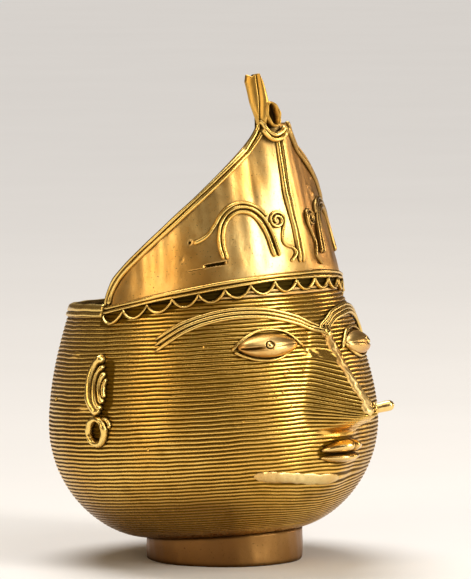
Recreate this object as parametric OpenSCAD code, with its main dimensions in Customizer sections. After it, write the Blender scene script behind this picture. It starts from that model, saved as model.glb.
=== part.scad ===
// Head-shaped brass planter, lost-wax cast. The wall is wound from wax threads round a clay core. The crown,
// the features and the ornament are laid on it as wax sheets, wires and pellets before the brass is poured.
//
// The pot leans back on a straight foot ring. Its face looks along -Y, and the figure's right side is at -X.
// The origin is the centre of the foot's underside.
//
// A place on the wall is written [azimuth, height]: degrees from the middle of the face towards the
// figure's right, and millimetres above the pot's bottom along its leaning axis.
// A place on the crown is written [azimuth, rise]: degrees from the middle of the crown towards the
// figure's right, and millimetres above the crown's base line.

/* [Pot] */
// Largest radius of the wall
belly_r = 59.4; // [52:0.1:66]
// Height of the widest point above the pot's bottom
belly_h = 39.6; // [36:0.1:44]
// Outer radius of the mouth
rim_r = 48.6; // [44:0.1:51]
// Height of the rim above the pot's bottom
rim_h = 84.6; // [82:0.1:90]
// Outer radius of the flat bottom
bottom_r = 27.4; // [26.6:0.1:30]
// Thickness of the wall under its threads
wall_t = 2.2; // [1.6:0.1:3]
// Distance from one wound thread to the next
thread_pitch = 1.5; // [1.4:0.05:2.4]
// Depth of the groove between two threads
thread_groove = 0.45; // [0.2:0.05:0.6]
// Backward lean of the pot's axis in degrees
lean = 4.8; // [0:0.1:6]
// Distance that the pot's axis stands behind the centre of the foot
set_back = 2; // [0:0.1:3]

/* [Foot and rim] */
// Outer radius of the foot ring
foot_r = 28.2; // [27.6:0.1:30]
// Thickness of the strip that the foot is bent from
foot_t = 2.6; // [2:0.1:4]
// Height of the pot's bottom above the table at its axis
foot_h = 9.2; // [6:0.1:12]
// Height of the lip band round the back of the mouth
band_h = 3.5; // [2.5:0.1:5]
// Thickness of the lip band
band_t = 0.9; // [0.5:0.1:1.5]

/* [Crown] */
// Height above the base line at which the crown's two edges would meet
crown_h = 54.5; // [48:0.5:60]
// Height at which the crown's point is cut off under the finial
crown_top = 52.5; // [46:0.5:54]
// Azimuth at which the crown's edge comes down to the rim
crown_span = 92; // [85:1:95]
// Thickness of the crown sheet
crown_t = 1.8; // [1.2:0.1:2.4]
// Inward slope of the crown sheet at its sides, in degrees
crown_taper = 12; // [0:0.5:15]
// Inward slope of the crown sheet along its front crease, in degrees
crease_taper = 6.5; // [0:0.5:12]
// Azimuth on each side of the middle over which the sheet bends out to the crease
crease_span = 18; // [5:1:30]
// Turn of the crown's middle from the middle of the face
crown_turn = 3; // [-5:0.5:5]
// How much higher the crown's base line is at the front than at the sides
base_rise = 8.4; // [0:0.1:12]
// Width of a crown wire
crown_wire_w = 1.6; // [1:0.1:2.4]
// Number of festoons in the headband
festoons = 17; // [15:1:19]

/* [Face] */
// How far the tip of the nose stands out of the wall
nose_out = 16.2; // [8:0.1:18]
// How far the muzzle stands out of the wall
muzzle_out = 3.5; // [1:0.1:5]
// Width of a brow wire
brow_wire_w = 1.4; // [1:0.1:2]
// Width of an eyelid wire
lid_wire_w = 1.2; // [0.8:0.1:1.8]
// How far an eyeball stands out of the wall
eye_out = 4.8; // [2:0.1:6]
// How far the lips stand out of the muzzle
lip_out = 5.6; // [2:0.1:6]

/* [Hidden] */
$fn = 96;

right = 1;
left = -1;

polished = "#d9a441";
golden = "#c98f2f";
worn = "#b5853a";
dark = "#9a6f2c";

// The two exponents shape the wall's outline: round and full below the belly, flatter above it.
lower_power = 1.7;
upper_power = 1.7;
// Thinnest edge of a piece that runs out on the wall.
feather = 0.25;
// Corners across the round top of a wire.
wire_corners = 5;
// Steps from one point of a wire's route to the next.
wire_steps = 3;
// Clear space between wires that lie side by side.
wire_gap = 0.06;

// --- The wall's outline -----------------------------------------------------------------------------------

function wall_r(h) = h > rim_h ? rim_r
    : h > belly_h ? belly_r - (belly_r - rim_r) * pow((h - belly_h) / (rim_h - belly_h), upper_power)
    : bottom_r + (belly_r - bottom_r) * pow(max(0, 1 - pow(1 - h / belly_h, 2)), 1 / lower_power);

// Places down the wall's outline, [radius, height], close together where the outline turns under.
outline = concat(
    [for (a = [90:-3:3]) let (h = belly_h * (1 - sin(a))) [wall_r(h), h]],
    [for (i = [0:24]) let (h = belly_h + (rim_h - belly_h) * i / 24) [wall_r(h), h]]
);
last = len(outline) - 1;

function outline_normal(i) =
    let (d = outline[min(i + 1, last)] - outline[max(i - 1, 0)])
    [d.y, -d.x] / norm(d);

// Running length of the outline, so that threads can be laid along it at an even pitch.
function lengths(i) = i == 0 ? [0]
    : let (before = lengths(i - 1)) concat(before, [before[i - 1] + norm(outline[i] - outline[i - 1])]);
run = lengths(last);
thread_count = floor(run[last] / thread_pitch);

function along(s, values) = lookup(s, [for (i = [0:last]) [run[i], values[i]]]);
radii = [for (p = outline) p.x];
heights = [for (p = outline) p.y];
normals_r = [for (i = [0:last]) outline_normal(i).x];
normals_h = [for (i = [0:last]) outline_normal(i).y];

function outline_at(s, sink) = [
    along(s, radii) - sink * along(s, normals_r),
    along(s, heights) - sink * along(s, normals_h)
];

// One thread is a low ridge: a groove, a shoulder, the crest and the other shoulder.
thread_profile = [[0, 1], [0.22, 0.3], [0.5, 0], [0.78, 0.3]];
pitch = run[last] / thread_count;
threads = [
    for (i = [0:thread_count - 1]) for (q = thread_profile)
        outline_at((i + q.x) * pitch, q.y * thread_groove)
];

inside = [for (i = [last:-1:0]) outline[i] - wall_t * outline_normal(i)];

// --- Places on the pot ------------------------------------------------------------------------------------

function around(azimuth, r, h) = [-r * sin(azimuth), -r * cos(azimuth), h];

function wall_at(p, lift) = around(p.x, wall_r(p.y) + lift, p.y);

// The nose rises to its tip and drops back quickly below it. Pairs are [height, share of nose_out].
nose_ridge = [
    [34, 0], [36, 0.3], [38, 0.62], [39.5, 0.84], [41, 1], [43, 1], [45, 0.95], [48, 0.84],
    [52, 0.69], [56, 0.55], [60, 0.42], [67, 0.3], [71, 0.2], [73, 0]
];
// Half the width of the nose at its foot and of its flat top, in degrees of azimuth.
nose_foot = [[34, 9], [38, 13], [44, 13.5], [52, 11.5], [60, 8.5], [73, 5]];
nose_top = [[40, 2.4], [50, 1], [73, 0.8]];
// Share of the flank's outline that is concave at the cheek and nearly straight up to the ridge.
nose_bell = 0.75;
// The muzzle carries the lips and fades out over the chin.
muzzle_ridge = [[12, 0], [17, 0.7], [24, 1], [34, 1], [40, 0.8], [46, 0]];
muzzle_half_width = 15;
// Half the width of the whole relief of nose and muzzle.
relief_half_width = [[12, 5], [17, 12], [24, 15], [44, 15], [52, 12.5], [60, 9.5], [73, 6]];

function smooth_step(x) = let (t = min(1, max(0, x))) t * t * (3 - 2 * t);
function nose_flank(p) =
    let (
        foot = lookup(p.y, nose_foot),
        top = lookup(p.y, nose_top),
        t = min(1, max(0, (foot - abs(p.x)) / (foot - top)))
    )
    nose_bell * t * t * (2 - t) + (1 - nose_bell) * smooth_step(t);
function nose_lift(p) = nose_out * lookup(p.y, nose_ridge) * nose_flank(p);
function muzzle_lift(p) =
    muzzle_out * lookup(p.y, muzzle_ridge) * smooth_step(1 - abs(p.x) / muzzle_half_width);
function face_at(p, lift) = wall_at(p, max(nose_lift(p), muzzle_lift(p)) + lift);

// The crown's base line is level with the rim at the sides and rises towards the front.
function base_h(a) = rim_h + base_rise * max(0, cos(a));
function crease(a) = max(0, 1 - abs(a) / crease_span);
function crown_slope(a) = tan(crown_taper) + (tan(crease_taper) - tan(crown_taper)) * crease(a);
function crown_r(p) =
    base_h(p.x) + p.y < rim_h ? wall_r(base_h(p.x) + p.y) : rim_r - max(0, p.y) * crown_slope(p.x);
function crown_at(p, lift) = around(p.x + crown_turn, crown_r(p) + lift, base_h(p.x) + p.y);

// Rise of the crown's edge above the base line: straight, steeper at the crease, and round at its foot.
edge_slope = 0.504;
crease_rise = 3.6;
function edge_line(b) =
    (crown_h - edge_slope * b + crease_rise * crease(b)) * sqrt(max(0, 1 - pow(b / crown_span, 30)));
function edge_rise(a) = min(crown_top, max(feather, edge_line(abs(a))));

// The three surfaces that pieces are laid on, as values that modules can be given.
on_wall = function(p, lift) wall_at(p, lift);
on_face = function(p, lift) face_at(p, lift);
on_crown = function(p, lift) crown_at(p, lift);

module on_pot() {
    translate([0, set_back, foot_h])
        rotate([-lean, 0, 0])
            children();
}

// --- Solids made from rows of points ----------------------------------------------------------------------

function unit(v) = v / norm(v);
function flat(rows) = [for (row = rows) each row];

// A closed skin between two sheets of points that have the same rows and columns.
module slab(front, back) {
    rows = len(front);
    cols = len(front[0]);
    n = rows * cols;
    edge = concat(
        [for (c = [0:cols - 2]) c],
        [for (r = [0:rows - 2]) r * cols + cols - 1],
        [for (c = [cols - 1:-1:1]) (rows - 1) * cols + c],
        [for (r = [rows - 1:-1:1]) r * cols]
    );
    sheet_faces = [
        for (r = [0:rows - 2]) for (c = [0:cols - 2])
            let (i = r * cols + c)
            each [[i, i + cols, i + 1], [i + 1, i + cols, i + cols + 1]]
    ];
    back_faces = [for (f = sheet_faces) [f[2] + n, f[1] + n, f[0] + n]];
    side_faces = [
        for (k = [0:len(edge) - 1])
            let (a = edge[k], b = edge[(k + 1) % len(edge)])
            each [[a, b, b + n], [a, b + n, a + n]]
    ];
    polyhedron(concat(flat(front), flat(back)), concat(sheet_faces, back_faces, side_faces), convexity = 8);
}

// A solid strung through rings of points. It is closed at both ends, or joins its last ring to its first.
module strung(rings, endless = false) {
    n = len(rings[0]);
    count = len(rings);
    sides = [
        for (i = [0:endless ? count - 1 : count - 2]) for (k = [0:n - 1])
            let (
                next_k = (k + 1) % n,
                a = i * n + k,
                b = i * n + next_k,
                c = (i + 1) % count * n + k,
                d = (i + 1) % count * n + next_k
            )
            each [[a, c, b], [b, c, d]]
    ];
    first_end = [for (k = [1:n - 2]) [0, k, k + 1]];
    last_end = [for (k = [1:n - 2]) let (o = (count - 1) * n) [o, o + k + 1, o + k]];
    ends = endless ? [] : concat(first_end, last_end);
    polyhedron(flat(rings), concat(sides, ends), convexity = 8);
}

// A smooth route through the points of a wire.
function between(p0, p1, p2, p3, t) =
    (2 * p1 + (p2 - p0) * t + (2 * p0 - 5 * p1 + 4 * p2 - p3) * t * t
        + (3 * p1 - p0 - 3 * p2 + p3) * t * t * t) / 2;
function route(p, steps = wire_steps) = let (m = len(p) - 1) concat(
    [for (i = [0:m - 1]) for (k = [0:steps - 1])
        between(p[max(i - 1, 0)], p[i], p[i + 1], p[min(i + 2, m)], k / steps)],
    [p[m]]
);
function mirrored(p, side) = side == right ? p : [for (i = [len(p) - 1:-1:0]) [-p[i].x, p[i].y]];

// A wire with a flat underside, laid along a route on a surface. It is place(point, lift) that says where
// the surface is.
module wire(path, place, width, height, lift = 0, endless = false) {
    count = len(path);
    function step(i) = endless ? (i + count) % count : min(max(i, 0), count - 1);
    rings = [
        for (i = [0:count - 1])
            let (
                here = place(path[i], lift),
                out = unit(place(path[i], lift + 1) - here),
                ahead = place(path[step(i + 1)], lift) - place(path[step(i - 1)], lift),
                across = unit(cross(ahead, out))
            )
            [for (k = [0:wire_corners])
                let (a = 180 * k / wire_corners)
                here + across * cos(a) * width / 2 + out * sin(a) * height]
    ];
    strung(rings, endless);
}

// A pellet with a lens-shaped outline, domed over a surface. Its middle line is bowed by bow.
module pellet(centre, half_size, bow, place, height, fullness = 0.5, rows = 6, cols = 16) {
    function spot(u, v) = [
        centre.x + half_size.x * u,
        centre.y + bow * (1 - u * u) + half_size.y * v * pow(1 - u * u + 0.01, 0.6)
    ];
    function dome(u, v) = height * pow(max(0, (1 - u * u) * (1 - v * v)), fullness);
    grid = [for (i = [0:rows]) [for (k = [0:cols]) [-cos(180 * k / cols), -cos(180 * i / rows)]]];
    slab(
        [for (row = grid) [for (q = row) place(spot(q.x, q.y), feather + dome(q.x, q.y))]],
        [for (row = grid) [for (q = row) place(spot(q.x, q.y), 0)]]
    );
}

// --- Pot --------------------------------------------------------------------------------------------------

module head_wall() {
    color(polished)
        on_pot()
            rotate_extrude()
                polygon(concat(
                    [[0, 0], outline[0]],
                    threads,
                    [outline[last], [rim_r - wall_t, rim_h]],
                    inside,
                    [[0, wall_t]]
                ));
}

module rim_band() {
    lip = 0.8;
    foot_of_band = rim_h - band_h;
    steps = 6;
    strip = [for (i = [0:steps]) foot_of_band + band_h * i / steps];
    color(polished)
        on_pot()
            rotate([0, 0, crown_span - 90 - crown_turn])
                rotate_extrude(angle = 360 - 2 * crown_span)
                    polygon(concat(
                        [for (h = strip) [wall_r(h) + band_t, h]],
                        [[rim_r + band_t / 2, rim_h + lip], [rim_r - wall_t, rim_h + lip]],
                        [[rim_r - wall_t, rim_h]],
                        [for (i = [steps:-1:0]) [wall_r(strip[i]), strip[i]]]
                    ));
}

// The foot is an upright ring, cut off under the pot's leaning bottom.
module foot_ring() {
    color(dark)
        difference() {
            cylinder(h = foot_h + foot_r, r = foot_r);
            translate([0, 0, -1])
                cylinder(h = foot_h + foot_r + 2, r = foot_r - foot_t);
            on_pot()
                translate([-2 * foot_r, -2 * foot_r, 0])
                    cube([4 * foot_r, 4 * foot_r, 4 * foot_r]);
        }
}

// --- Face -------------------------------------------------------------------------------------------------

module nose() {
    rows = 24;
    half_cols = 9;
    low = 12;
    high = 73;
    // Columns crowd towards the ridge.
    grid = [
        for (i = [0:rows]) [
            for (k = [-half_cols:half_cols])
                let (h = low + (high - low) * i / rows, u = k / half_cols)
                [lookup(h, relief_half_width) * sign(u) * pow(abs(u), 1.5), h]
        ]
    ];
    color(polished)
        on_pot()
            slab(
                [for (row = grid) [for (p = row) wall_at(p, max(feather, nose_lift(p), muzzle_lift(p)))]],
                [for (row = grid) [for (p = row) wall_at(p, 0)]]
            );
}

module nose_bridge_strip() {
    path = [[0, 42], [0, 45], [0, 48], [0, 52], [0, 56], [0, 60], [0, 67], [0, 71]];
    color(polished)
        on_pot()
            wire(route(path, 2), on_face, 1.8, 0.5);
}

// Smooth wax pressed over the threads of the chin, towards the figure's right.
module chin_patch() {
    middle = [[-2, 18.7], [8, 19.2], [20, 20.8], [34, 22.3]];
    half_h = 2;
    cols = 18;
    rows = 4;
    function spot(u, v) = let (a = -2 + 36 * u) [a, lookup(a, middle) + half_h * v];
    grid = [for (i = [-rows / 2:rows / 2]) [for (k = [0:cols]) spot(k / cols, 2 * i / rows)]];
    color(worn)
        on_pot()
            slab(
                [for (row = grid) [for (p = row) face_at(p, feather)]],
                [for (row = grid) [for (p = row) face_at(p, 0)]]
            );
}

brow_right = [[68, 70.1], [56, 76.2], [41, 79.3], [25, 79.2], [12, 76.4], [5, 73.6], [-2, 70.6]];
brow_left = [[51, 66], [47, 71], [39.5, 75.6], [27, 78], [12, 76.4], [5, 73.6], [-2, 70.6]];
brow_count = 3;
// The wires of a brow lie side by side and splay at their outer ends. The left brow turns down sooner than
// the right one and stands further out.
module brow_wires(side) {
    path = side == right ? brow_right : brow_left;
    lift = side == right ? 0 : 0.6;
    splay = 1.2;
    splay_from = side == right ? 50 : 30;
    color(polished)
        on_pot()
            for (k = [0:brow_count - 1]) {
                row = (k - (brow_count - 1) / 2) * brow_wire_w;
                spread = [for (p = path) p + [0, row * (1 + splay * max(0, p.x / splay_from - 1))]];
                wire(mirrored(route(spread, 2), side), on_face, brow_wire_w, brow_wire_w * 0.7, lift);
            }
}

eye = [25.2, 67.7];
eye_half = [11.9, 4.2];
pupil_half = [1.2, 1.15];
pupil_out = 0.9;
// The left eye sits a little lower than the right one.
function eye_drop(side) = side == right ? 0 : 2;
function eyeball_lift(p) =
    let (u = (p.x - eye.x) / eye_half.x, v = (p.y - eye.y) / eye_half.y)
    feather + eye_out * sqrt(max(0, (1 - u * u) * (1 - v * v)));

module eyeball(side) {
    color(polished)
        on_pot()
            pellet([side * eye.x, eye.y - eye_drop(side)], eye_half, 0, on_wall, eye_out);
}

module pupil(side) {
    middle = [side * (eye.x + 0.9), eye.y - eye_drop(side) + 0.4];
    on_eyeball = function(p, lift) wall_at(p, eyeball_lift([abs(p.x), p.y + eye_drop(side)]) + lift);
    color(polished)
        on_pot()
            pellet(middle, pupil_half, 0, on_eyeball, pupil_out, cols = 12);
}

module eyelid_wires(side) {
    upper = [[39.2, 66.7], [36, 69.4], [31.4, 72], [26.4, 73.2], [21.2, 73.1], [16.2, 71.6], [10.2, 66.3]];
    lower = [[38.4, 66.2], [34.8, 64.6], [30, 63.1], [24.8, 62.7], [20.2, 63.6], [16, 65.8], [13, 68]];
    color(polished)
        on_pot()
            for (lid = [upper, lower]) {
                dropped = [for (p = lid) p - [0, eye_drop(side)]];
                wire(mirrored(route(dropped, 2), side), on_wall, lid_wire_w, lid_wire_w);
            }
}

module upper_lip() {
    color(polished)
        on_pot()
            pellet([0, 29.9], [8.6, 2], 1, on_face, lip_out, rows = 8);
}

module lower_lip() {
    color(polished)
        on_pot()
            pellet([0, 26.2], [8, 1.8], -0.4, on_face, lip_out * 0.9, rows = 8);
}

// The stud goes into the flank of the nose on the figure's left and points outwards.
stud_r = 1.9;
stud_length = 7;
module on_nostril() {
    on_pot()
        translate(face_at([-6, 42.5], 0.2))
            rotate([82, 0, 58])
                children();
}

module nose_stud() {
    color(polished)
        on_nostril() {
            translate([0, 0, stud_r * 0.6])
                cylinder(h = stud_length - stud_r * 0.6, r = stud_r);
            translate([0, 0, stud_length])
                sphere(r = stud_r);
        }
}

module nose_stud_collar() {
    color(polished)
        on_nostril()
            difference() {
                translate([0, 0, stud_r * 0.6])
                    cylinder(h = 1.1, r = stud_r + 0.7);
                cylinder(h = 4, r = stud_r);
            }
}

module ear_wires(side) {
    outermost = [[90.4, 66.4], [93.8, 64.6], [95.7, 61], [96.2, 57], [95.6, 53.4], [93.8, 50], [90.6, 47.2]];
    // Each row is a wire: its width, its height and its route.
    arcs = [
        [3.4, 3.2, outermost],
        [1.9, 2.5, [[89.2, 63.4], [91.5, 61], [92.5, 57.4], [92.3, 54], [90.8, 50.9], [88.4, 49]]],
        [1.5, 2, [[88.4, 61], [89.8, 58.6], [90.1, 55.8], [89.5, 53], [88, 51.6]]],
        [1, 1.4, [[87.4, 58.6], [88, 57], [88, 54.8], [87.2, 53.4]]]
    ];
    color(polished)
        on_pot()
            for (arc = arcs)
                wire(mirrored(route(arc[2], 2), side), on_wall, arc[0], arc[1]);
}

// A fast ring lying flat under the ear, taller than it is wide.
module ear_ring(side) {
    middle = [91.2, 40.8];
    reach = [3.4, 4.2];
    turns = 24;
    loop = [for (i = [0:turns - 1]) let (a = 360 * i / turns) middle + [reach.x * cos(a), reach.y * sin(a)]];
    color(polished)
        on_pot()
            wire(mirrored(loop, side), on_wall, 2.3, 2.5, endless = true);
}

// --- Crown ------------------------------------------------------------------------------------------------

// Azimuths across the crown, close together at its steep ends.
crown_cols = 24;
function crown_azimuth(k) = crown_span * sin(90 * k / crown_cols);

module crown_sheet() {
    rows = 6;
    grid = [
        for (i = [0:rows]) [
            for (k = [-crown_cols:crown_cols])
                let (a = crown_azimuth(k), low = rim_h - base_h(a))
                [a, low + (edge_rise(a) - low) * i / rows]
        ]
    ];
    // Azimuth grows towards -X, so the sheet's back comes first to face outwards.
    color(golden)
        on_pot()
            slab(
                [for (row = grid) [for (p = row) crown_at(p, -crown_t)]],
                [for (row = grid) [for (p = row) crown_at(p, 0)]]
            );
}

// A route on the crown moved sideways by some millimetres.
mm_per_degree = rim_r * 3.1416 / 180;
function moved(path, by) = [
    for (i = [0:len(path) - 1])
        let (
            d = path[min(i + 1, len(path) - 1)] - path[max(i - 1, 0)],
            ahead = unit([d.x * mm_per_degree, d.y])
        )
        path[i] + by * [-ahead.y / mm_per_degree, ahead.x]
];

// Two wires side by side pipe each sloping edge.
module crown_edge_wires(side) {
    edge = [for (k = [2:2:crown_cols]) let (a = crown_azimuth(k)) [a, edge_rise(a)]];
    color(polished)
        on_pot()
            for (k = [0, 1])
                wire(
                    mirrored(route(moved(edge, -(k + 0.5) * (crown_wire_w + wire_gap)), 2), side),
                    on_crown, crown_wire_w, 1.3
                );
}

module crown_centre_wires() {
    top = 46.8;
    foot = 2.8;
    steps = 8;
    crease_at = 0.6;
    function middle(t, k) = [
        crease_at + k * (crown_wire_w + wire_gap) * 1.2 / mm_per_degree,
        foot + (top - foot) * t
    ];
    color(polished)
        on_pot()
            for (k = [-0.5, 0.5])
                wire([for (i = [0:steps]) middle(i / steps, k)], on_crown, crown_wire_w, 1.5);
}

// Two wires hang round the foot of the finial.
module crown_collar_wires() {
    lower = [[10.4, 49.8], [8.8, 48], [6.6, 46.8], [4.2, 46.3], [0.4, 47.1], [-4.2, 50]];
    upper = [[11, 53.2], [9.4, 51.6], [8, 50], [6, 48.8], [3.6, 48.3], [0, 49.5], [-3.8, 52.2]];
    color(polished)
        on_pot()
            for (strand = [lower, upper])
                wire(route(strand), on_crown, 1.4, 1.6, lift = 1.6);
}

// The finial is two upright leaves that meet at a fold. Pairs are [rise, azimuth].
leaf_fold = [[50, 10], [54.4, 10.6], [57, 10.1], [59, 9.6], [62, 9.1], [70, 8.8]];
leaf_edge_right = [[50, 10.9], [54, 11.7], [56.4, 12.3], [60.3, 13.3], [64.6, 13.6], [68, 14], [70, 13]];
leaf_edge_left = [[50, 7.6], [53, 7.2], [57, 5.8], [60, 5.4], [64, 5.8], [67.5, 6.4], [70, 7.4]];
module finial_blade(side) {
    thickness = 1.2;
    low = 50;
    high = 70;
    stand_out = 1.6;
    half_gap = 0.2;
    rows = 10;
    cols = 4;
    function spot(t, u) =
        let (
            rise = low + (high - low) * t,
            free_edge = lookup(rise, side == right ? leaf_edge_right : leaf_edge_left),
            fold = lookup(rise, leaf_fold) + side * half_gap
        )
        [free_edge + (fold - free_edge) * u, rise];
    // The leaves leave the sheet just above their feet, and the right one leans back to its free edge.
    function stand(t, u) = stand_out * smooth_step(4 * t) * (side == right ? 0.3 + 0.7 * u : 1);
    function leaf(lift) = [
        for (i = [0:rows]) [
            for (k = [0:cols])
                let (t = i / rows, u = k / cols)
                crown_at(spot(t, u), lift + stand(t, u))
        ]
    ];
    color(polished)
        on_pot()
            if (side == left) slab(leaf(0), leaf(thickness));
            else slab(leaf(thickness), leaf(0));
}

// A small slanting cup in front of the leaves: a strip bent to a loop.
module finial_cup() {
    middle = [4.7, 55.7];
    reach = [2.6, 4.2];
    slant = 0.5;
    turns = 20;
    loop = [
        for (i = [0:turns - 1])
            let (a = 360 * i / turns)
            middle + [reach.x * cos(a) + slant * sin(a), reach.y * sin(a)]
    ];
    color(polished)
        on_pot()
            wire(loop, on_crown, 1.5, 3.6, endless = true);
}

arch_outer = [
    [49, 15.4], [44.6, 16.2], [40.6, 17.8], [37, 21.5], [33, 24.4],
    [28, 25.9], [23, 25.6], [18, 23.6], [13.4, 19.4]
];
arch_middle = [
    [36.8, 6.9], [37.5, 13.6], [35.6, 20], [31, 23.5], [25.4, 24.3],
    [20, 23], [15.6, 19.4], [12.8, 12.4], [10.8, 5.5]
];
arch_inner = [
    [34.8, 7.1], [35.6, 13.4], [33.6, 18.8], [29.4, 22], [25, 22.7],
    [20.6, 21.5], [17.2, 18.2], [14.6, 11.6], [12.4, 5.6]
];
// The motifs of the figure's left panel mirror those of the right one about a line beside the crease.
motif_axis = -3.5;
function on_panel(p, side) = side == right ? p : mirrored([for (q = p) q - [2 * motif_axis, 0]], side);
module arch_wires(side) {
    color(polished)
        on_pot()
            for (p = [arch_outer, arch_middle, arch_inner])
                wire(on_panel(route(p, 2), side), on_crown, 1.5, 1.3);
}

// A curl of one and a half turns, with a wavy tail that runs down beside the middle wires.
module scroll_wire(side) {
    curl_centre = side == right ? [8.2, 18.7] : [6.2, 18.7];
    curl_turns = 1.5;
    steps = 14;
    curl = [
        for (i = [0:steps])
            let (t = i / steps, a = 200 - 360 * curl_turns * t, r = 0.7 + 2.3 * t)
            curl_centre + r * [-cos(a) * 1.25, sin(a)]
    ];
    tail = side == right
        ? [[4.9, 16.4], [6.6, 14.2], [7, 11.2], [5.4, 9.2], [2.6, 8.3], [1.6, 6.5], [3.2, 4.6], [4.8, 3.4]]
        : [[3.2, 15.8], [5.8, 12], [7, 8.6], [4.6, 5.1], [6.6, 2.9], [8, 1.8]];
    color(polished)
        on_pot()
            wire(on_panel(concat(curl, route(tail, 2)), side), on_crown, 1.1, 1.1);
}

module headband_upper_wires() {
    color(polished)
        on_pot()
            for (row = [[-0.9, 1.5], [-2.4, 1.3]])
                wire([for (a = [-crown_span:4:crown_span]) [a, row[0]]], on_crown, row[1], 1.2);
}

// One wire in hanging waves: narrow crests under the upper wires, wide rounds below.
module headband_wave_wire() {
    crest = -3.7;
    depth = 2.9;
    steps = 8;
    first = 91.2;
    span = (2 * crown_span + 2) / festoons;
    color(polished)
        on_pot()
            wire(
                [for (i = [festoons * steps:-1:0])
                    [first - span * i / steps, crest - depth * pow(abs(sin(180 * i / steps)), 0.7)]],
                on_crown, 1, 1.1
            );
}

head_wall();
nose();
nose_bridge_strip();
chin_patch();
rim_band();
foot_ring();
crown_sheet();
crown_edge_wires(right);  // crown_edge_wires_right
crown_edge_wires(left);  // crown_edge_wires_left
crown_centre_wires();
crown_collar_wires();
finial_blade(right);  // finial_blade_right
finial_blade(left);  // finial_blade_left
finial_cup();
arch_wires(right);  // arch_wires_right
arch_wires(left);  // arch_wires_left
scroll_wire(right);  // scroll_wire_right
scroll_wire(left);  // scroll_wire_left
headband_upper_wires();
headband_wave_wire();
brow_wires(right);  // brow_wires_right
brow_wires(left);  // brow_wires_left
eyeball(right);  // eyeball_right
eyeball(left);  // eyeball_left
pupil(right);  // pupil_right
pupil(left);  // pupil_left
eyelid_wires(right);  // eyelid_wires_right
eyelid_wires(left);  // eyelid_wires_left
upper_lip();
lower_lip();
nose_stud();
nose_stud_collar();
ear_wires(right);  // ear_wires_right
ear_wires(left);  // ear_wires_left
ear_ring(right);  // ear_ring_right
ear_ring(left);  // ear_ring_left
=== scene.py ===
"""The looks of the head-shaped brass planter.

Every piece is built in millimetres in the pot's own leaning frame, then tilted onto the foot and scaled to
metres. A place on the wall is (azimuth, height) and a place on the crown is (azimuth, rise), as in part.scad:
degrees from the middle of the face towards the figure's right, and millimetres.

In the formulas a is an azimuth, h a height, and u, v and t say how far along or across a piece a place is.
"""

import math

import bpy
import numpy as np
from mathutils import Matrix, Vector


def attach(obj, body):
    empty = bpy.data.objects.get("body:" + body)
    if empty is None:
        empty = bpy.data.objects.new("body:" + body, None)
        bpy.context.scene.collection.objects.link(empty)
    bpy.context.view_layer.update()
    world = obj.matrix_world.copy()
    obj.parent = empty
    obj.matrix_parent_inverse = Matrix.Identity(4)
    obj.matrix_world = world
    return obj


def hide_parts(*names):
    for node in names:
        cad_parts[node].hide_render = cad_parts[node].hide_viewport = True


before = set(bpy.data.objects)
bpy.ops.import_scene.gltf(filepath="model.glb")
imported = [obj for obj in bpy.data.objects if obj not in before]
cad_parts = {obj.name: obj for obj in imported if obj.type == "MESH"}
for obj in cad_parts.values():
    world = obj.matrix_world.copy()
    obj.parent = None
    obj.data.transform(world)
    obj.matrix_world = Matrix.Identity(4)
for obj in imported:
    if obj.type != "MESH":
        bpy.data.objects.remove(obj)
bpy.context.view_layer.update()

MM = 0.001
RIGHT = 1
LEFT = -1

# ---- Sizes of the pot, as in part.scad -----------------------

BELLY_R = 59.4
BELLY_H = 39.6
RIM_R = 48.6
RIM_H = 84.6
BOTTOM_R = 27.4
WALL_T = 2.2
OUTLINE_POWER = 1.7
THREAD_PITCH = 1.5
THREAD_GROOVE = 0.45
CHIN_SAG = 2.2
LEAN = 4.8
SET_BACK = 2.0
FOOT_R = 28.2
FOOT_T = 2.6
FOOT_H = 9.2
BAND_H = 3.5
BAND_T = 0.9

CROWN_H = 54.5
CROWN_TOP = 52.5
CROWN_SPAN = 92.0
CROWN_T = 1.8
CROWN_TAPER = 12.0
CREASE_TAPER = 6.5
CREASE_SPAN = 18.0
CROWN_TURN = 3.0
BASE_RISE = 8.4
EDGE_SLOPE = 0.504
EDGE_SQUARENESS = 30
EDGE_LEAST = 0.25
CREASE_RISE = 3.6

# Millimetres along the surface for each degree, at the rim and at the belly.
MM_PER_DEGREE = RIM_R * math.pi / 180
BELLY_MM_PER_DEGREE = BELLY_R * math.pi / 180

NOSE_OUT = 16.2
MUZZLE_OUT = 3.5
MUZZLE_HALF_WIDTH = 15.0
NOSE_RIDGE = [
    (34, 0), (36, 0.3), (38, 0.62), (39.5, 0.84), (41, 1), (43, 1), (45, 0.95), (48, 0.84),
    (52, 0.69), (56, 0.55), (60, 0.42), (67, 0.3), (71, 0.2), (73, 0),
]
NOSE_FOOT = [(34, 11), (38, 15.5), (44, 17), (52, 15), (60, 11.5), (73, 6)]
NOSE_TOP = [(40, 2.4), (50, 1), (73, 0.8)]
NOSE_BELL = 0.75
NOSE_HOLLOW = 1.3
MUZZLE_RIDGE = [(12, 0), (17, 0.7), (24, 1), (34, 1), (40, 0.8), (46, 0)]
# The threads droop over the nose. Pairs are (height on the cheek, height on the ridge).
THREAD_DROP = [
    (0, 0), (30, 30), (34, 34), (38, 37.6), (42, 40), (46, 41.6), (50, 44.6), (53, 47.8), (57, 52.7),
    (62, 59.4), (67, 65.9), (73, 73), (RIM_H, RIM_H),
]


# ---- Surfaces ------------------------------------------------

def lookup(x, pairs):
    """The value at x on the line through the pairs."""
    return np.interp(x, [p[0] for p in pairs], [p[1] for p in pairs])


def ramp(x, zero_at, one_at):
    """A smooth change from 0 where x is zero_at to 1 where it is one_at."""
    t = np.clip((x - zero_at) / (one_at - zero_at), 0, 1)
    return t * t * (3 - 2 * t)


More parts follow.
